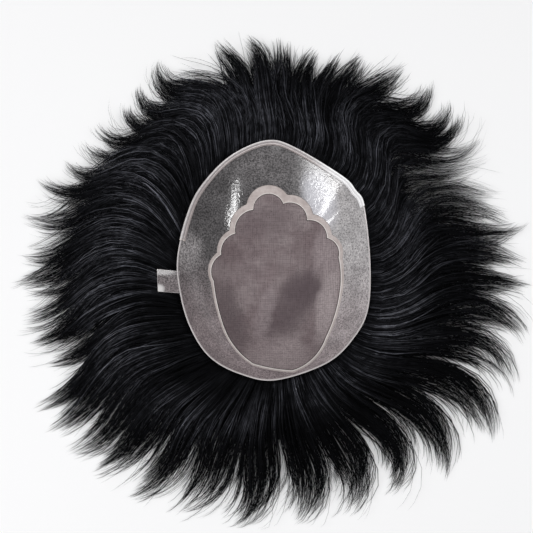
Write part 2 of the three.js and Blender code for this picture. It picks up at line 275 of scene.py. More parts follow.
def mixColours(tree, factor, first, second, blend="MIX"):
    inputs = {0: factor, 6: first, 7: second}
    return addNode(tree, "ShaderNodeMix", inputs, data_type="RGBA", blend_type=blend).outputs[2]


def noiseNode(tree, vector, scale, detail=2.0, roughness=0.5):
    inputs = {"Vector": vector, "Scale": scale, "Detail": detail, "Roughness": roughness}
    return addNode(tree, "ShaderNodeTexNoise", inputs).outputs["Fac"]


def attribute(tree, name):
    return addNode(tree, "ShaderNodeAttribute", attribute_name=name).outputs["Fac"]


def colour(red, green, blue):
    return (*[(c / 255) ** 2.2 for c in (red, green, blue)], 1.0)


def newGroup(name, inputs, outputs):
    group = bpy.data.node_groups.new(name, "ShaderNodeTree")
    for key, kind in inputs.items():
        group.interface.new_socket(key, in_out="INPUT", socket_type=kind)
    for key, kind in outputs.items():
        group.interface.new_socket(key, in_out="OUTPUT", socket_type=kind)
    start = group.nodes.new("NodeGroupInput")
    end = group.nodes.new("NodeGroupOutput")
    return group, start.outputs, end.inputs


def useGroup(tree, group, inputs):
    return addNode(tree, "ShaderNodeGroup", inputs, node_tree=group)


def newMaterial(name, settings):
    material = bpy.data.materials.new(name)
    material.use_nodes = True
    tree = material.node_tree
    shader = tree.nodes["Principled BSDF"]
    for key, value in settings.items():
        shader.inputs[key].default_value = value
    position = addNode(tree, "ShaderNodeTexCoord").outputs["Object"]
    return material, tree, shader, position


def addBump(tree, shader, height, strength, distance=0.5 * mm):
    inputs = {"Height": height, "Strength": strength, "Distance": distance}
    bump = addNode(tree, "ShaderNodeBump", inputs)
    tree.links.new(bump.outputs["Normal"], shader.inputs["Normal"])


def paint(tree, tone, mask, weight, shade):
    return mixColours(tree, mathNode(tree, "MULTIPLY", mask, weight), tone, colour(*shade))


# a position pushed sideways by noise, so that edges and threads aren't dead straight
def pushed(tree, position, scale, reach, detail=2.0):
    noise = addNode(tree, "ShaderNodeTexNoise", {"Vector": position, "Scale": scale, "Detail": detail})
    inputs = {0: noise.outputs["Color"], 1: (reach, reach, 0.0)}
    push = addNode(tree, "ShaderNodeVectorMath", inputs, operation="MULTIPLY")
    inputs = {0: position, 1: push.outputs[0]}
    return addNode(tree, "ShaderNodeVectorMath", inputs, operation="ADD").outputs[0]


# shared effects: knots where hair is tied in, and a plain weave with a few thicker threads
effects = {
    "patchScale": 260.0, "patchRange": (0.36, 0.56), "knotEdge": 1.8,
    "bendScale": 60.0, "bendReach": 1.2 * mm, "grid": 0.07, "slubScale": 800.0,
    "slubs": ((0.1, 1.0, 1.0), (1.0, 0.1, 1.0)), "weaveRange": (0.65, 1.35),
}


def makeSpeckle():
    group, given, put = newGroup(
        "knotSpeckle",
        {"Vector": "NodeSocketVector", "Scale": "NodeSocketFloat", "Size": "NodeSocketFloat"},
        {"Mask": "NodeSocketFloat"},
    )
    cells = addNode(group, "ShaderNodeTexVoronoi", {"Vector": given["Vector"], "Scale": given["Scale"]})
    edge = mathNode(group, "MULTIPLY", given["Size"], effects["knotEdge"])
    knot = rangeNode(group, cells.outputs["Distance"], given["Size"], edge, 1.0, 0.0)
    noise = noiseNode(group, given["Vector"], effects["patchScale"], 2.0)
    patch = rangeNode(group, noise, *effects["patchRange"])
    group.links.new(mathNode(group, "MULTIPLY", knot, patch), put["Mask"])
    return group


def makeWeave():
    group, given, put = newGroup(
        "wovenThreads",
        {"Vector": "NodeSocketVector", "Scale": "NodeSocketFloat"},
        {"Height": "NodeSocketFloat"},
    )
    moved = pushed(group, given["Vector"], effects["bendScale"], effects["bendReach"])
    place = addNode(group, "ShaderNodeSeparateXYZ", {0: moved}).outputs
    rows = mathNode(group, "SINE", mathNode(group, "MULTIPLY", place["X"], given["Scale"]))
    lines = mathNode(group, "SINE", mathNode(group, "MULTIPLY", place["Y"], given["Scale"]))
    total = mathNode(group, "MULTIPLY", mathNode(group, "ADD", rows, lines), effects["grid"])
    for stretch in effects["slubs"]:
        drawn = addNode(group, "ShaderNodeVectorMath", {0: moved, 1: stretch}, operation="MULTIPLY")
        total = mathNode(group, "ADD", total, noiseNode(group, drawn.outputs[0], effects["slubScale"], 2.0))
    group.links.new(rangeNode(group, total, *effects["weaveRange"]), put["Height"])
    return group


speckle = makeSpeckle()
weave = makeWeave()


# a soft round or drawn-out spot on the base, in mm and degrees: 1 in its middle, 0 outside
def spot(tree, position, middle, reach, turn=0, wobble=6):
    inputs = {
        "Vector": pushed(tree, position, 45.0, wobble * mm, 3.0),
        "Location": ((middle[0] + wobble / 2) * mm, (middle[1] + wobble / 2) * mm, 0),
        "Rotation": (0, 0, math.radians(turn)),
        "Scale": (reach[0] * mm, reach[1] * mm, 1),
    }
    mapped = addNode(tree, "ShaderNodeMapping", inputs, vector_type="TEXTURE")
    place = addNode(tree, "ShaderNodeSeparateXYZ", {0: mapped.outputs[0]}).outputs
    squares = [mathNode(tree, "MULTIPLY", place[axis], place[axis]) for axis in ("X", "Y")]
    return rangeNode(tree, mathNode(tree, "ADD", *squares), 0.0, 1.0, 1.0, 0.0)


# spots are rows of middle, reach, turn, wobble, weight and colour
def paintSpots(tree, position, tone, spots):
    for middle, reach, turn, wobble, weight, shade in spots:
        tone = paint(tree, tone, spot(tree, position, middle, reach, turn, wobble), weight, shade)
    return tone


def grey(tree, value):
    return addNode(tree, "ShaderNodeCombineColor", {0: value, 1: value, 2: value}).outputs["Color"]


# film: dark at the left, pale at the right and low down, crackled where the light catches it, with painted
# highlights at the right and on the tab's corner
filmLook = {
    # left to right: the film's own tone over the hair beneath, darker at the left partly as a painted
    # reflection of the dark room
    "left": (85, 83, 84), "right": (178, 175, 176), "rightSpan": (5 * mm, 78 * mm),
    "low": (152, 140, 142), "lowSpan": (20 * mm, -80 * mm), "lowWeight": 0.75,
    "cloud": (0.82, 1.16), "grainDark": (0.3, 0.6), "grainLight": (1.8, 1.42),
    "knots": (34, 32, 34), "knotScale": 520.0, "knotSize": 0.2, "knotWeight": 0.6,
    # rim: a painted highlight along the film's raised outer edge
    "rim": (214, 208, 208), "rimHighlightWeight": 0.85,
    "underGrain": (
        ((-80, 8), (16, 24), 0, 6, 0.6, (160, 156, 157)),
        ((-14, 88), (44, 26), 0, 6, 0.55, (114, 111, 112)),
    ),
    # painted highlights: a pale patch where the light glances off the right of the film, and a glint on the
    # tab's outer corner
    "paintedHighlights": (
        ((43, 57), (19, 36), 18, 6, 0.7, (218, 218, 226)),
        ((-107, -28), (7, 6), 0, 2, 0.75, (228, 226, 226)),
    ),
    "crackled": (((-38, 46), (18, 44), 12), ((42, 52), (32, 50), -20)),
    "crackleScale": 210.0, "crackleBend": 6 * mm, "crackle": 0.035, "ripple": 0.004,
}


def filmTone(tree, position):
    place = addNode(tree, "ShaderNodeSeparateXYZ", {0: position}).outputs
    right = rangeNode(tree, place["X"], *filmLook["rightSpan"])
    low = rangeNode(tree, place["Y"], *filmLook["lowSpan"])
    # darker at the left partly as a painted reflection of the dark room
    tone = mixColours(tree, right, colour(*filmLook["left"]), colour(*filmLook["right"]))
    tone = paint(tree, tone, low, filmLook["lowWeight"], filmLook["low"])
    tone = paintSpots(tree, position, tone, filmLook["underGrain"])
    cloud = rangeNode(tree, noiseNode(tree, position, 60.0, 4.0), 0.3, 0.7, *filmLook["cloud"])
    pale = mathNode(tree, "MAXIMUM", right, low)
    dark = rangeNode(tree, pale, 0.0, 1.0, *filmLook["grainDark"])
    light = rangeNode(tree, pale, 0.0, 1.0, *filmLook["grainLight"])
    grain = rangeNode(tree, noiseNode(tree, position, 640.0, 3.0, 0.7), 0.3, 0.7, dark, light)
    tone = mixColours(tree, 1.0, tone, grey(tree, mathNode(tree, "MULTIPLY", cloud, grain)), "MULTIPLY")
    inputs = {"Vector": position, "Scale": filmLook["knotScale"], "Size": filmLook["knotSize"]}
    knots = useGroup(tree, speckle, inputs).outputs["Mask"]
    tone = paint(tree, tone, knots, filmLook["knotWeight"], filmLook["knots"])
    # the painted highlights go over the grain and knots
    tone = paintSpots(tree, position, tone, filmLook["paintedHighlights"])
    # a painted highlight along the raised outer edge
    rim = rangeNode(tree, attribute(tree, "edge"), 0.25, 0.8, 1.0, 0.0)
    return paint(tree, tone, rim, filmLook["rimHighlightWeight"], filmLook["rim"])


def filmRelief(tree, position):
    left, right = [spot(tree, position, *row) for row in filmLook["crackled"]]
    crackled = rangeNode(tree, mathNode(tree, "MAXIMUM", left, right), 0.0, 0.35)
    moved = pushed(tree, position, 150.0, filmLook["crackleBend"], 3.0)
    inputs = {"Vector": moved, "Scale": filmLook["crackleScale"]}
    cells = addNode(tree, "ShaderNodeTexVoronoi", inputs, feature="DISTANCE_TO_EDGE")
    creases = rangeNode(tree, cells.outputs["Distance"], 0.0, 0.3)
    wrinkles = mathNode(tree, "MULTIPLY", mathNode(tree, "MULTIPLY", creases, crackled), filmLook["crackle"])
    ripple = mathNode(tree, "MULTIPLY", noiseNode(tree, position, 640.0, 2.0), filmLook["ripple"])
    return mathNode(tree, "ADD", wrinkles, ripple)


def makeFilmMaterial():
    material, tree, shader, position = newMaterial("film", {"Roughness": 0.14, "Specular IOR Level": 0.75})
    tree.links.new(filmTone(tree, position), shader.inputs["Base Color"])
    addBump(tree, shader, filmRelief(tree, position), 1.0, 0.8 * mm)
    return material


bandLook = {
    "dark": (178, 167, 164), "light": (200, 190, 187),
    "threads": (150, 138, 136), "threadScale": 4200.0, "threadWeight": 0.3,
    "lip": (236, 230, 227), "lipSpan": (0.55, 1.1), "lipWeight": 0.9,
}


def makeBandMaterial():
    material, tree, shader, position = newMaterial("band", {"Roughness": 0.62, "Specular IOR Level": 0.35})
    inputs = {"Vector": position, "Scale": bandLook["threadScale"]}
    threads = useGroup(tree, weave, inputs).outputs["Height"]
    cloud = rangeNode(tree, noiseNode(tree, position, 160.0, 3.0), 0.3, 0.7)
    tone = mixColours(tree, cloud, colour(*bandLook["dark"]), colour(*bandLook["light"]))
    tone = paint(tree, tone, threads, bandLook["threadWeight"], bandLook["threads"])
    lip = rangeNode(tree, attribute(tree, "across"), *bandLook["lipSpan"], 1.0, 0.0)
    tone = paint(tree, tone, lip, bandLook["lipWeight"], bandLook["lip"])
    tree.links.new(tone, shader.inputs["Base Color"])
    addBump(tree, shader, threads, 0.3, 0.2 * mm)
    return material


laceLook = {
    "dark": (118, 105, 107), "light": (140, 129, 130),
    "threads": (66, 57, 60), "threadScale": 3100.0, "threadWeight": 0.42,
    "knots": (44, 37, 40), "knotScale": 480.0, "knotSize": 0.15, "knotWeight": 0.45,
    "clouds": (
        ((18, -44), (24, 56), -38, 12, 0.75, (80, 69, 73)),
        ((30, -26), (26, 22), -20, 12, 0.6, (84, 73, 77)),
        ((-41, -54), (18, 46), 16, 12, 0.72, (88, 77, 80)),
        ((-8, 36), (36, 22), 10, 12, 0.55, (100, 88, 91)),
        ((-44, 4), (18, 22), 0, 12, 0.4, (96, 82, 84)),
        ((52, -40), (13, 54), -12, 12, 0.9, (166, 155, 156)),
        ((-8, -50), (11, 36), -14, 12, 0.5, (154, 143, 145)),
        ((6, -92), (42, 22), 0, 12, 0.6, (166, 154, 155)),
        ((-24, -12), (26, 20), 0, 12, 0.15, (146, 134, 136)),
        ((48, 6), (14, 32), -4, 12, 0.7, (158, 146, 148)),
    ),
}


def makeLaceMaterial():
    material, tree, shader, position = newMaterial("lace", {"Roughness": 0.75, "Specular IOR Level": 0.25})
    inputs = {"Vector": position, "Scale": laceLook["threadScale"]}
    threads = useGroup(tree, weave, inputs).outputs["Height"]
    cloud = rangeNode(tree, noiseNode(tree, position, 34.0, 5.0, 0.65), 0.33, 0.68)
    tone = mixColours(tree, cloud, colour(*laceLook["dark"]), colour(*laceLook["light"]))
    tone = paintSpots(tree, position, tone, laceLook["clouds"])
    tone = paint(tree, tone, threads, laceLook["threadWeight"], laceLook["threads"])
    inputs = {"Vector": position, "Scale": laceLook["knotScale"], "Size": laceLook["knotSize"]}
    knots = useGroup(tree, speckle, inputs).outputs["Mask"]
    tone = paint(tree, tone, knots, laceLook["knotWeight"], laceLook["knots"])
    tree.links.new(tone, shader.inputs["Base Color"])
    addBump(tree, shader, threads, 0.3, 0.25 * mm)
    return material


# hem: duller at the left, glossy white at the right, with painted shade in the groove between its two ridges
hemLook = {
    "leftSpan": (30 * mm, 58 * mm), "inner": ((244, 243, 245), (176, 166, 165)),
    # groove: painted shade between the two ridges, darker at the left
    "outer": ((252, 252, 253), (208, 203, 203)), "grooveShade": ((236, 235, 237), (150, 143, 144)),
    "grooveAt": 0.52, "grooveShadeWeight": 0.85,
    "dull": (120, 112, 114), "dullWeight": (0.06, 0.25), "end": (220, 208, 200), "endWeight": 0.8,
}


def makeHemMaterial():
    material, tree, shader, position = newMaterial("hem", {"Roughness": 0.25, "Specular IOR Level": 0.7})
    across = attribute(tree, "across")
    place = addNode(tree, "ShaderNodeSeparateXYZ", {0: position}).outputs
    left = rangeNode(tree, place["X"], *hemLook["leftSpan"], 1.0, 0.0)
    inner, outer, shadedGroove = [
        mixColours(tree, left, colour(*right), colour(*dull))
        for right, dull in (hemLook["inner"], hemLook["outer"], hemLook["grooveShade"])
    ]
    tone = mixColours(tree, rangeNode(tree, across, 0.48, 0.62), inner, outer)
    # painted shade in the groove between the ridges
    far = mathNode(tree, "ABSOLUTE", mathNode(tree, "SUBTRACT", across, hemLook["grooveAt"]))
    grooveShade = rangeNode(tree, far, 0.05, 0.17, 1.0, 0.0)
    tone = mixColours(tree, mathNode(tree, "MULTIPLY", grooveShade, hemLook["grooveShadeWeight"]), tone, shadedGroove)
    mottle = rangeNode(tree, noiseNode(tree, position, 420.0, 3.0), 0.35, 0.65)
    weight = rangeNode(tree, left, 0.0, 1.0, *hemLook["dullWeight"])
    tone = paint(tree, tone, mottle, weight, hemLook["dull"])
    tone = paint(tree, tone, attribute(tree, "end"), hemLook["endWeight"], hemLook["end"])
    tree.links.new(tone, shader.inputs["Base Color"])
    addBump(tree, shader, noiseNode(tree, position, 300.0, 3.0), 0.3, 0.5 * mm)
    return material


# hair: near black, with a painted cool sheen in the base colour where the strands' tone attribute is high
hairLook = {
    "black": (0.0009, 0.0008, 0.0011, 1), "sheen": (0.22, 0.226, 0.27, 1),
    "sheenPatches": (0.5, 1.0), "sheenBreaks": (0.5, 1.15), "roughness": (0.6, 0.35),
    "shader": {
        "Specular IOR Level": 0.1, "Specular Tint": (0.86, 0.9, 1.0, 1.0),
        "Coat Roughness": 0.25, "Coat IOR": 1.5,
    },
}


def makeHairMaterial():
    material, tree, shader, position = newMaterial("hair", hairLook["shader"])
    sheenPatches = rangeNode(tree, noiseNode(tree, position, 26.0, 3.0), 0.35, 0.62, *hairLook["sheenPatches"])
    sheenBreaks = rangeNode(tree, noiseNode(tree, position, 130.0, 2.0), 0.35, 0.62, *hairLook["sheenBreaks"])
    tone = mathNode(tree, "MULTIPLY", attribute(tree, "tone"), mathNode(tree, "MULTIPLY", sheenPatches, sheenBreaks))
    # the base colour carries the painted sheen
    shade = mixColours(tree, tone, hairLook["black"], hairLook["sheen"])
    tree.links.new(shade, shader.inputs["Base Color"])
    tree.links.new(rangeNode(tree, tone, 0.0, 0.5, *hairLook["roughness"]), shader.inputs["Roughness"])
    tree.links.new(rangeNode(tree, tone, 0.1, 0.7), shader.inputs["Coat Weight"])
    return material


filmMaterial = makeFilmMaterial()
bandMaterial = makeBandMaterial()
laceMaterial = makeLaceMaterial()
hemMaterial = makeHemMaterial()
hairMaterial = makeHairMaterial()
print("materials ready")


# lace in the middle of the bowl
lace = {"rings": 15, "wave": 0.25 * mm}


def makeLace():
    share = np.linspace(0, 1, lace["rings"])[:, None]
    radii = share * laceRadius(allAngles)
    x, y = radii * np.cos(allAngles), radii * np.sin(allAngles)
    wave = np.sin(x / (9 * mm) + 1) * np.sin(y / (12 * mm)) + np.sin((x - y) / (15 * mm))
    lift = lace["wave"] * (1 + wave / 2) * smoothStep((1 - share) * 6)
    piece = ringSheet("laceCentre", allAngles, radii, lift, {"across": share + 0 * radii})
    finishSheet(piece, laceMaterial, "lace_center")
    return piece


# raised binding band with a bright inner lip
band = {
    "front": 8.4 * mm, "back": 2.4 * mm, "swell": 3.3, "raise": 0.45 * mm,
    "shares": (0, 0.03, 0.08, 0.14, 0.22, 0.35, 0.5, 0.65, 0.78, 0.88, 0.95, 1),
}


def bandWidths():
    low = -base["length"] / 2
    share = (lacePoints[:, 1] - low) / (lacePoints[:, 1].max() - low)
    return band["back"] + (band["front"] - band["back"]) * share ** band["swell"]


bandInner = grownRadius(lacePoints, base["gap"], allAngles)
bandOuter = grownRadius(lacePoints, base["gap"] + bandWidths(), allAngles)
filmInner = grownRadius(lacePoints, 2 * base["gap"] + bandWidths(), allAngles)


def makeBand():
    share = np.array(band["shares"])[:, None]
    width = bandOuter - bandInner
    radii = bandInner + share * width
    inward = share * width
    outward = (1 - share) * width
    edge = np.minimum(inward, outward) / (0.6 * mm)
    lift = band["raise"] * np.sqrt(1 - (1 - np.clip(edge, 0, 1)) ** 2)
    lift = lift + 0.3 * mm * np.exp(-(((inward - 0.7 * mm) / (0.4 * mm)) ** 2))
    values = {"across": inward / mm + 0 * radii}
    piece = ringSheet("scallopBand", allAngles, radii, lift, values)
    finishSheet(piece, bandMaterial, "scallop_band")
    return piece


# film ring, with a raised edge that carries a painted highlight, and the tape tab
film = {"rings": 22, "lip": 0.2 * mm, "edges": (2.6, 1.9, 1.4, 1.05, 0.75, 0.45, 0.18, 0)}
tab = {
    "corners": ((-87.5, -11.2), (-109.0, -9.0), (-108.2, -29.9), (-87.0, -31.4)),  # mm
    "droop": 2 * mm, "round": 1.2, "cells": 24,
}


def hemOver(angles):
    return (angles > hem["right"] - hemMargin) & (angles < hem["left"] + hemMargin)


def makeFilm():
    covered = hemOver(allAngles)
    outer = rimRadius(allAngles) - np.where(covered, hem["width"] + base["gap"], 0)
    near = outer - film["edges"][0] * mm
    share = np.linspace(0, 1, film["rings"])[:-1, None]
    inside = filmInner + share * (near - filmInner)
    border = outer - np.array(film["edges"])[:, None] * mm
    radii = np.concatenate([inside, border])
    toEdge = (outer - radii) / mm
    lip = np.exp(-(((toEdge - 0.4) / 0.3) ** 2)) * np.where(covered, 0, 1)
    edge = toEdge + np.where(covered, 9, 0)
    return ringSheet("filmRing", allAngles, radii, film["lip"] * lip, {"edge": edge, "inTab": 0 * radii})


def makeTab():
    a, b, c, d = (np.array(corner) * mm for corner in tab["corners"])
    u = np.linspace(0, 1, tab["cells"] + 1)[:, None, None]
    v = np.linspace(0, 1, tab["cells"] + 1)[None, :, None]
    flat = (1 - u) * (1 - v) * a + u * (1 - v) * b + u * v * c + (1 - u) * v * d
    top = bowlHeight(math.pi, rimRadius(math.pi)) - base["wall"] / 2 - tab["droop"] * u[..., 0] ** 1.3
    top = top + 0.5 * mm * np.sin(v[..., 0] * 5) * u[..., 0]
    width = np.linalg.norm(d - a) / mm
    length = np.linalg.norm(b - a) / mm
    edge = np.minimum(np.minimum(v[..., 0], 1 - v[..., 0]) * width, (1 - u[..., 0]) * length)
    points = np.concatenate([flat, (top + 0 * v[..., 0])[..., None]], -1).reshape(-1, 3)
    side = tab["cells"] + 1
    faces = []
    for i in range(side - 1):
        for j in range(side - 1):
            here = i * side + j
            faces.append((here, here + side, here + side + 1, here + 1))
    piece = newMesh("tapeTab", points, faces, {"edge": edge + 0.35, "inTab": 1 + 0 * edge})
    thicken(piece, base["wall"])
    return piece


def makeFilmPiece():
    piece = join("film", [makeFilm(), makeTab()])
    finishSheet(piece, filmMaterial, "film_perimeter")
    return piece


# folded hem along the front edge: two ridges and the groove between them
def makeHem():
    angles = allAngles[(allAngles > hem["right"] + 0.002) & (allAngles < hem["left"] - 0.002)]
    angles = np.concatenate([[hem["right"]], angles, [hem["left"]]])
    share = np.linspace(0, 1, 17)[:, None]
    radii = rimRadius(angles) - (1 - share) * (hem["width"] + base["gap"])
    ridges = np.exp(-(((share - 0.24) / 0.13) ** 2)) + 1.1 * np.exp(-(((share - 0.78) / 0.13) ** 2))
    lift = 0.06 * mm + 0.6 * mm * ridges + 0 * radii
    end = np.clip(1 - (angles[-1] - angles) * rimRadius(hem["left"]) / hem["notch"], 0, 1)
    values = {"across": share + 0 * radii, "end": end + 0 * radii}
    piece = ringSheet("frontHem", angles, radii, lift, values, whole=False)
    finishSheet(piece, hemMaterial, "front_hem")
    return piece


lacePiece = makeLace()
bandPiece = makeBand()
filmPiece = makeFilmPiece()
hemPiece = makeHem()
print("base sheets made")


# hair: sizes, and values that change round the rim as pairs of degrees and value
hair = {
    "length": 170 * mm, "tufts": 7, "wisps": 6, "strands": 5, "strays": 0.2, "stations": 14,
    "thick": (0.2 * mm, 0.34 * mm), "crowding": 1.3, "keep": 0.6, "edge": 9 * mm,
    "spread": 8.6, "rootShare": 0.975, "ownShare": (0.5, 0.1, 0.2, 0.5, 0.9), "turnNoise": (3, 6, 15),
    "wispSpread": 2.9 * mm, "hook": 2.2 * mm, "wave": 1.3 * mm, "strandSpread": 0.75 * mm,
    "bow": (11 * mm, 1.5 * mm), "rootDepth": 14 * mm,
    # where the painted sheen sits along the strands round the rim, how wide it is, and how strong
    "sheenCrest": (
        (0, 0.22), (40, 0.28), (90, 0.34), (140, 0.42), (180, 0.36),
        (215, 0.48), (250, 0.34), (280, 0.13), (320, 0.18), (360, 0.22),
    ),
    "sheenWidth": (
        (0, 0.22), (60, 0.2), (90, 0.26), (150, 0.22), (215, 0.2), (270, 0.1), (320, 0.14), (360, 0.22),
    ),
    "firm": (
        (0, 0.5), (20, 0.8), (48, 0.8), (62, 0.45), (110, 0.45), (118, 0.75),
        (150, 0.6), (172, 0.4), (230, 0.34), (300, 0.34), (330, 0.4), (360, 0.5),
    ),
    "fine": ((0, 0.5), (6, 0.44), (18, 0.44), (25, 1), (352, 1), (360, 0.5)),  # thinner hair at the right
    "shine": (
        (0, 1.1), (60, 1), (130, 1), (180, 0.9), (230, 0.8), (270, 0.55), (300, 0.6), (330, 1), (360, 1.1),
    ),
    "drop": 2.4 * mm, "middle": 12 * mm, "middleShare": 0.62, "tip": 2.6 * mm, "pieces": 6,
}

# where each lock roots round the rim in degrees, its length as a share, and how far it turns
# from its root's direction as it leaves, a third and two thirds of the way along, and at its tip
lockTable = np.array([
    (2, 1.02, 3, 64, 6, -30), (10, 0.99, 5, 66, -10, 30), (18, 1.03, 6, 66, -30, 50),
    (26, 1.07, 8, 64, -44, 86), (34, 1.02, 6, 58, -54, 84), (43, 0.98, 4, 54, -56, 72),
    (52, 0.88, -2, 48, -22, -5), (60, 0.75, -4, 38, 0, -10), (68, 0.7, -8, 34, -2, -15),
    (76, 0.66, -12, 25, 5, -30), (84, 0.68, -14, 22, 0, 16), (92, 0.69, -14, 12, 0, 55),
    (100, 0.7, -18, 4, 16, 40), (108, 0.77, -22, 0, 62, 75), (116, 0.88, -26, -8, 60, -56),
    (124, 0.87, -34, -12, 66, -56), (131, 0.85, -40, -14, 66, -64), (140, 0.94, -46, -16, 64, -34),
    (148, 0.96, -50, -18, 58, -44), (156, 1.02, -52, -20, 54, -50), (164, 1.09, -52, -20, 44, -40),
    (172, 1.14, -52, -20, 40, -18), (180, 1.1, -50, -18, 38, -14), (188, 1.1, -48, -16, 28, -10),
    (196, 1.11, -46, -15, 28, -14), (204, 1.07, -44, -15, 22, -28), (212, 0.91, -42, -18, 12, -30),
    (220, 1.08, -38, -22, 12, -20), (228, 1.06, -38, -27, 6, -24), (236, 1.03, -36, -28, 1, -40),
    (244, 1.01, -32, -26, -8, -48), (252, 1.0, -27, -21, -9, -56), (260, 0.98, -20, -14, -8, -62),
    (268, 0.96, -10, -4, 0, -64), (276, 0.96, -2, 8, 10, -68), (284, 0.98, 5, 19, 15, -74),
    (292, 1.0, 8, 28, 16, -84), (300, 1.08, 12, 34, 16, -56), (308, 1.13, 16, 42, 22, -46),
    (316, 1.1, 18, 48, 32, -44), (324, 1.07, 18, 58, 30, -34), (332, 1.05, 16, 62, 26, 16),
    (340, 1.07, 12, 62, 18, -4), (347, 1.06, 9, 62, 4, 56), (355, 1.04, 4, 64, 4, -26),
])


def headings(rows, share):
    a = 2 * rows[:, 0] - rows[:, 1]
    turns = np.stack([a, *rows.T, 2 * rows[:, 3] - rows[:, 2]], 1)[:, None, :]
    part = np.minimum((share * 3).astype(int), 2)
    u = share * 3 - part
    p = [np.take_along_axis(turns + 0 * u[..., None], (part + k)[..., None], -1)[..., 0] for k in range(4)]
    bend = (p[2] - p[0]) * u + (2 * p[0] - 5 * p[1] + 4 * p[2] - p[3]) * u**2
    return p[1] + (bend + (3 * p[1] - p[0] - 3 * p[2] + p[3]) * u**3) / 2


def rowsAt(degrees):
    turn = [360, 0, 0, 0, 0, 0]
    wrapped = np.concatenate([lockTable[-1:] - turn, lockTable, lockTable[:1] + turn])
    return np.stack([np.interp(degrees % 360, wrapped[:, 0], wrapped[:, k]) for k in range(1, 6)], 1)


def guidePaths(degrees, rows, lengths, steps=60):
    share = np.broadcast_to(np.linspace(0, 1, steps + 1), (len(degrees), steps + 1))
    root = np.radians(degrees)[:, None]
    heading = root + np.radians(headings(rows, share))
    stride = (lengths / steps)[:, None]
    reach = hair["rootShare"] * rimReach(np.radians(degrees))
    start = np.stack([np.cos(root[:, 0]), np.sin(root[:, 0])], 1) * reach[:, None]
    moves = np.stack([np.cos(heading) * stride, np.sin(heading) * stride], -1)[:, :-1]
    places = start[:, None] + np.concatenate([np.zeros((len(degrees), 1, 2)), np.cumsum(moves, 1)], 1)
    return places, heading


def sampled(values, share):
    steps = values.shape[1] - 1
    station = np.clip(share, 0, 1) * steps
    low = np.minimum(station.astype(int), steps - 1)
    rest = station - low
    index = np.arange(len(values))[:, None]
    first, second = values[index, low], values[index, low + 1]
    if values.ndim == 3:
        rest = rest[..., None]
    return first * (1 - rest) + second * rest


# a strand shorter than its guide: partly cut short and partly shrunk, so that its tip curls too
def shortened(places, turns, along, stretch):
    shrink = 1 - hair["keep"] * (1 - stretch)
    share = along * stretch / shrink
    path = places[:, :1] + shrink[..., None] * (sampled(places, share) - places[:, :1])
    return path, sampled(turns, share)


def crowded(stations):
    return 1 - (1 - np.linspace(0, 1, stations)[None]) ** hair["crowding"]


def rimTop(degrees):
    angle = np.radians(degrees)
    edge = np.stack([np.cos(angle), np.sin(angle)], 1) * rimReach(angle)[:, None] - bowlCentre
    about = np.arctan2(edge[:, 1], edge[:, 0])
    return bowlHeight(about, rimRadius(about))


def fall(share, start, middle, tip):
    inner = start + (middle - start) * smoothStep(share / hair["middleShare"])
    outer = middle + (tip - middle) * (share - hair["middleShare"]) / (1 - hair["middleShare"])
    return np.where(share < hair["middleShare"], inner, outer)


# a lock's own path, and the paths of its tufts
def makeTufts():
    count = hair["tufts"]
    locks = np.repeat(np.arange(len(lockTable)), count)
    spread = (np.tile(np.arange(count), len(lockTable)) + rng.uniform(0.1, 0.9, len(locks))) / count - 0.5
    degrees = lockTable[locks, 0] + spread * hair["spread"]
    own = lockTable[locks, 1:]
    mixed = rowsAt(degrees)
    rows = mixed + (own - mixed) * np.array(hair["ownShare"])
    rows[:, 2:] += rng.normal(0, 1, (len(locks), 3)) * hair["turnNoise"]
    lengths = rows[:, 0] * hair["length"] * (1.04 - 0.16 * rng.random(len(locks)) ** 1.3)
    places, heading = guidePaths(degrees, rows[:, 1:], lengths)
    lockPlaces, lockHeading = guidePaths(lockTable[:, 0], lockTable[:, 2:], lockTable[:, 1] * hair["length"])
    crown = rng.normal(0, 1, len(lockTable))[locks] * 0.6 + 1.2 - 5 * spread**2
    return locks, degrees, (places, heading), (lockPlaces[locks], lockHeading[locks]), crown


# the furthest tips draw in, so that the hair keeps the outline of the solids
def drawnIn(path):
    middle = np.array([cadBox[0][:2], cadBox[1][:2]]).mean(0)
    reach = np.array(cadBox[1][:2]) - middle + hair["edge"]
    over = np.maximum(np.abs(path - middle) - reach, 0)
    return path - np.sign(path - middle) * (over - hair["edge"] * np.tanh(over / hair["edge"]))


# strands that start inside the rim stay under the film
def underBase(path, height):
    offset = path - bowlCentre
    angle = np.arctan2(offset[..., 1], offset[..., 0])
    radius = np.linalg.norm(offset, axis=-1)
    rim = rimRadius(angle)
    cap = bowlHeight(angle, np.minimum(radius, rim)) - hair["drop"]
    return np.where(radius < rim + 0.8 * mm, np.minimum(height, cap), height)


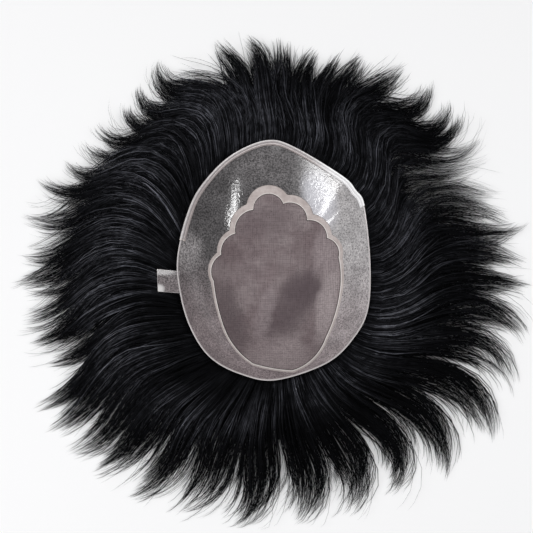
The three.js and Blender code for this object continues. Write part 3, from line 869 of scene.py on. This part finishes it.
# strands gather in wisps, and wisps in tufts
def makeStrands():
    locks, degrees, guides, lockGuides, crown = makeTufts()
    each = hair["strands"]
    wisps = np.repeat(np.arange(len(degrees)), hair["wisps"])
    total = len(wisps) * each

    def perWisp(values):
        return np.repeat(values, each)[:, None]

    count = len(wisps)
    stray = rng.random(total) < hair["strays"]
    stretch = np.repeat(1 - 0.34 * rng.random(count) ** 1.1, each) * (1 - 0.12 * rng.random(total))
    along = np.repeat(crowded(hair["stations"]), total, 0)
    share = along * stretch[:, None]
    tufts = np.repeat(wisps, each)
    path, turn = shortened(guides[0][tufts], guides[1][tufts], along, stretch[:, None])
    lockPath = shortened(lockGuides[0][tufts], lockGuides[1][tufts], along, stretch[:, None])[0]
    long = np.clip((stretch - 0.62) / 0.38, 0, 1)  # the longest strands draw a lock to a point
    firm = np.interp(degrees, *zip(*hair["firm"])) * rng.uniform(0.5, 1.5, len(lockTable))[locks]
    pull = np.minimum(firm[tufts] + rng.uniform(0, 0.2, total) + 0.6 * long, 1) * np.where(stray, 0.6, 1)
    path = path + (lockPath - path) * (pull[:, None] * share**2.5)[..., None]
    side = np.stack([-np.sin(turn), np.cos(turn)], -1)
    gather = np.minimum(perWisp(rng.uniform(0.6, 0.9, count)) + 0.2 * long[:, None], 0.97)
    aside = perWisp(rng.normal(0, hair["wispSpread"], count)) * (1 + 1.5 * along) * (1 - gather * along**3)
    aside = aside + perWisp(rng.normal(0, hair["hook"], count)) * along**2.5
    phase = perWisp(rng.uniform(0, 2 * math.pi, len(degrees))[wisps] + rng.normal(0, 0.6, count))
    pace = perWisp(rng.uniform(9, 18, len(degrees))[wisps] + rng.normal(0, 0.8, count))
    aside = aside + hair["wave"] * np.sin(share * pace + phase) * np.sqrt(along)
    loose = np.where(stray, rng.uniform(0, 0.4, total), rng.uniform(0.8, 1.0, total))[:, None]
    own = rng.normal(0, hair["strandSpread"], total)[:, None] * (1 + 1.4 * along) * (1 - loose * along**2.5)
    bow = rng.normal(0, 1, total)[:, None] * np.where(stray, *hair["bow"])[:, None] * along**2
    path = drawnIn(path + side * (aside + own + bow)[..., None])
    depth = np.repeat(rng.random(count), each) * 0.85 + rng.random(total) * 0.15
    level = np.repeat(rng.normal(0, 1, count), each)
    start = rimTop(degrees[tufts]) - hair["drop"] - hair["rootDepth"] * depth**1.5
    middle = hair["middle"] * (1.1 - 0.7 * depth) + level * 1.1 * mm
    tip = np.maximum(hair["tip"] * (1.2 - depth) + np.where(stray, 2 * mm, 0), 0.7 * mm)
    height = fall(along, start[:, None], middle[:, None], tip[:, None])
    height = height + crown[tufts][:, None] * 2.6 * mm * np.sin(math.pi * along) ** 1.5
    height = height + rng.normal(0, 0.3 * mm, total)[:, None] * smoothStep(along * 3)
    thick = rng.uniform(*hair["thick"], total) * np.where(stray, 0.75, 1)
    thick = thick * np.interp(degrees % 360, *zip(*hair["fine"]))[tufts]
    thick = thick[:, None] * np.sqrt(np.maximum(1 - along**4.5, 0.03))
    height = np.maximum(underBase(path, height), thick + 0.2 * mm)
    # tone: partly random strand-to-strand tone, mostly a painted sheen that peaks part way along each strand
    # and breaks into clumps
    bright = rng.random(total) < 0.3
    tone = np.where(bright, rng.uniform(0.8, 1.3, total), rng.uniform(0, 0.22, total))
    tone = tone * np.repeat(0.4 + 0.65 * rng.random(count) ** 1.2, each)
    sheenCrest = np.interp(degrees, *zip(*hair["sheenCrest"])) + rng.normal(0, 0.03, len(lockTable))[locks]
    wide = np.interp(degrees, *zip(*hair["sheenWidth"]))
    shine = np.interp(degrees, *zip(*hair["shine"]))[tufts][:, None]
    away = (share - sheenCrest[tufts][:, None]) / wide[tufts][:, None]
    twice = rng.random(len(lockTable))[locks][tufts][:, None] > 0.6
    second = 0.22 * np.exp(-(((away - 2.4) / 0.8) ** 2)) * twice
    second = second * (wide[tufts][:, None] > 0.17)
    sheenClumpAt = degrees[tufts][:, None] + 8 * share
    sheenClumps = np.interp(sheenClumpAt, np.arange(0, 376, 3), rng.uniform(0.3, 1.5, 126))
    tone = np.minimum(tone[:, None] * shine * sheenClumps * (0.06 + np.exp(-(away**2)) + second), 0.85)
    return path, height, turn, thick, tone


def tubesMesh(name, path, height, turn, thick, tone):
    total, stations = height.shape
    centre = np.concatenate([path, height[..., None]], -1)
    side = np.stack([-np.sin(turn), np.cos(turn), 0 * turn], -1)
    up = np.array([0, 0, 1.0])
    roll = rng.uniform(0, 2 * math.pi, total)[:, None]
    corners = []
    for corner in range(3):
        angle = roll + corner * 2 * math.pi / 3
        outward = side * np.cos(angle)[..., None] + up * np.sin(angle)[..., None]
        corners.append(centre + thick[..., None] * outward)
    points = np.stack(corners, 2)
    points[:, -1] = centre[:, -1, None]
    points = np.concatenate([points[:, :-1].reshape(total, -1, 3), centre[:, -1:]], 1)
    perStrand = (stations - 1) * 3 + 1
    faces = [(0, 2, 1)]
    for station in range(stations - 2):
        for corner in range(3):
            a = station * 3 + corner
            b = station * 3 + (corner + 1) % 3
            faces += [(a, b, b + 3), (a, b + 3, a + 3)]
    last = (stations - 2) * 3
    faces += [(last + corner, last + (corner + 1) % 3, last + 3) for corner in range(3)]
    faces = (np.array(faces)[None] + (np.arange(total) * perStrand)[:, None, None]).reshape(-1, 3)
    mesh = bpy.data.meshes.new(name)
    mesh.vertices.add(total * perStrand)
    mesh.vertices.foreach_set("co", points.reshape(-1).astype(np.float32))
    mesh.loops.add(len(faces) * 3)
    mesh.loops.foreach_set("vertex_index", faces.reshape(-1).astype(np.int32))
    mesh.polygons.add(len(faces))
    mesh.polygons.foreach_set("loop_start", np.arange(0, len(faces) * 3, 3, dtype=np.int32))
    mesh.update(calc_edges=True)
    mesh.validate()
    shades = np.concatenate([np.repeat(tone[:, :-1], 3, 1), tone[:, -1:]], 1).reshape(-1)
    mesh.attributes.new("tone", "FLOAT", "POINT").data.foreach_set("value", shades.astype(np.float32))
    mesh.polygons.foreach_set("use_smooth", np.ones(len(faces), dtype=bool))
    piece = bpy.data.objects.new(name, mesh)
    bpy.context.collection.objects.link(piece)
    return piece


def finishHair(piece):
    piece.data.materials.append(hairMaterial)
    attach(piece, "root")
    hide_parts("hair")


def makeHair():
    parts = makeStrands()
    bounds = np.linspace(0, len(parts[0]), hair["pieces"] + 1).astype(int)
    for index, (start, end) in enumerate(zip(bounds[:-1], bounds[1:])):
        finishHair(tubesMesh(f"strands{index + 1}", *[values[start:end] for values in parts]))


# dark bed under the strands: a mat below the base, and thick strands low under each lock
bed = {
    "columns": 240, "skirt": (44 * mm, 68 * mm, 76 * mm), "ragged": 0.4,
    "slope": ((0.15, 0.6), (0.32, 0.38), (0.6, 0.14), (0.85, 0.05), (1, 0.03)),
    "fullness": (
        (0, 0.54), (7, 0.5), (19, 0.5), (27, 1), (136, 1), (146, 0.84), (168, 0.86),
        (182, 0.96), (205, 0.94), (216, 1.06), (325, 1.06), (340, 0.9), (350, 0.78), (360, 0.54),
    ),
    "strands": 44, "stations": 10, "thick": (0.65 * mm, 1.05 * mm), "rootDrop": 20 * mm,
    "rings": (0.0, 0.3, 0.55, 0.75, 0.9), "under": 2.2 * mm, "rimDrop": 18 * mm, "skirtDrop": 12 * mm,
}


def makeBedStrands():
    locks = np.repeat(np.arange(len(lockTable)), bed["strands"])
    total = len(locks)
    spread = rng.uniform(-0.5, 0.5, total)
    degrees = lockTable[locks, 0] + spread * hair["spread"]
    rows = rowsAt(degrees)
    rows = rows + (lockTable[locks, 1:] - rows) * 0.2
    fullness = np.interp(degrees % 360, *zip(*bed["fullness"]))
    stretch = (rng.uniform(0.66, 1.0, total) * fullness * (1 - 0.14 * np.abs(spread)))[:, None]
    places, turns = guidePaths(degrees, rows[:, 1:], rows[:, 0] * hair["length"])
    lockPlaces, lockTurns = guidePaths(lockTable[:, 0], lockTable[:, 2:], lockTable[:, 1] * hair["length"])
    toTip = np.linspace(0, 1, places.shape[1])[None, :, None]
    pull = rng.uniform(0.1, 0.9, total)[:, None, None] * toTip**3
    places = places + (lockPlaces[locks] - places) * pull
    along = np.repeat(crowded(bed["stations"]), total, 0)
    path, turn = shortened(places, turns, along, stretch)
    path = drawnIn(path)
    start = rimTop(degrees)[:, None] - hair["drop"] - bed["rootDrop"]
    height = fall(along, start, rng.uniform(1.5, 5, total)[:, None] * mm, 1 * mm)
    thick = rng.uniform(*bed["thick"], total)[:, None] * (1.02 - along) ** 0.6
    height = np.maximum(height, thick + 0.2 * mm)
    return tubesMesh("bedStrands", path, height, turn, thick, 0 * along)


def makeBedMat():
    angles = np.arange(bed["columns"]) * 2 * math.pi / bed["columns"]
    radius = rimRadius(angles)
    skirt = blendSides(bed["skirt"], angles) * (1 - bed["ragged"] * rng.random(len(angles)))
    rings, heights = [], []
    for share in bed["rings"]:
        rings.append(share * radius)
        heights.append(bowlHeight(angles, share * radius) - bed["under"] * (1 + 1.2 * share))
    rings.append(radius - 2 * mm)
    heights.append(bowlHeight(angles, radius) - bed["rimDrop"])
    for out, up in bed["slope"]:
        rings.append(radius + out * skirt)
        heights.append((bowlHeight(angles, radius) - bed["skirtDrop"]) * up)
    rings += rings[::-1]
    heights += [0 * radius + 0.3 * mm] * len(heights)
    radii, height = np.array(rings), np.array(heights)
    x = bowl["x"] + radii * np.cos(angles)
    y = bowl["y"] + radii * np.sin(angles)
    points = np.stack([x, y, height], -1).reshape(-1, 3)
    columns = len(angles)
    faces = []
    for ring in range(len(rings) - 1):
        for here in range(columns):
            there = (here + 1) % columns
            inner, outer = ring * columns, (ring + 1) * columns
            faces.append((inner + here, outer + here, outer + there, inner + there))
    piece = newMesh("hairBed", points, faces)
    mergeClose(piece)
    return piece


def makeBed():
    finishHair(makeBedStrands())
    mat = makeBedMat()
    mat.data.attributes.new("tone", "FLOAT", "POINT")
    finishHair(mat)


makeHair()
print("strands made")
makeBed()
print("bed made")


# plain pale floor and soft studio light
studio = {
    "floor": colour(250, 250, 251), "world": 0.1,
    "overhead": {"place": (-0.25, 0.6, 2.1), "size": (1.0, 1.0), "power": 20.5},
    "leftStrip": {
        "place": (0.8, -0.66, 1.11), "size": (0.35, 0.09), "along": (0.08, 0.375, 0.21), "power": 2.4,
    },
    "rightPatch": {
        "place": (-0.78, -0.82, 1.0), "size": (0.6, 0.18), "along": (0.1, 0.28, 0.32), "power": 3.9,
    },
    "leftSide": {"place": (-1.7, 0.3, 1.2), "size": (0.7, 0.7), "power": 11},
    "rightSide": {"place": (1.7, 0.2, 1.2), "size": (0.7, 0.7), "power": 11},
    "lowSide": {"place": (-0.3, -1.7, 1.2), "size": (0.6, 0.6), "power": 2.5},
}


def addLight(name):
    facts = studio[name]
    bpy.ops.object.light_add(type="AREA", location=facts["place"])
    lamp = bpy.context.object
    lamp.name = name
    lamp.data.shape = "RECTANGLE"
    lamp.data.size, lamp.data.size_y = facts["size"]
    lamp.data.energy = facts["power"]
    back = Vector(facts["place"]).normalized()
    along = Vector(facts.get("along", (1, 0, 0)))
    along = (along - back * along.dot(back)).normalized()
    lamp.rotation_euler = Matrix((along, back.cross(along), back)).transposed().to_euler()


def addStudio():
    bpy.ops.mesh.primitive_plane_add(size=6)
    floor = bpy.context.object
    floor.name = "floor"
    material, tree, shader, position = newMaterial("floor", {"Roughness": 0.9, "Base Color": studio["floor"]})
    floor.data.materials.append(material)
    world = bpy.data.worlds.new("studio")
    bpy.context.scene.world = world
    world.use_nodes = True
    background = world.node_tree.nodes["Background"]
    background.inputs["Color"].default_value = (1, 1, 1, 1)
    background.inputs["Strength"].default_value = studio["world"]
    for name in ("overhead", "leftStrip", "rightPatch", "leftSide", "rightSide", "lowSide"):
        addLight(name)
    bpy.context.scene.view_settings.view_transform = "Standard"


addStudio()
print("studio ready")
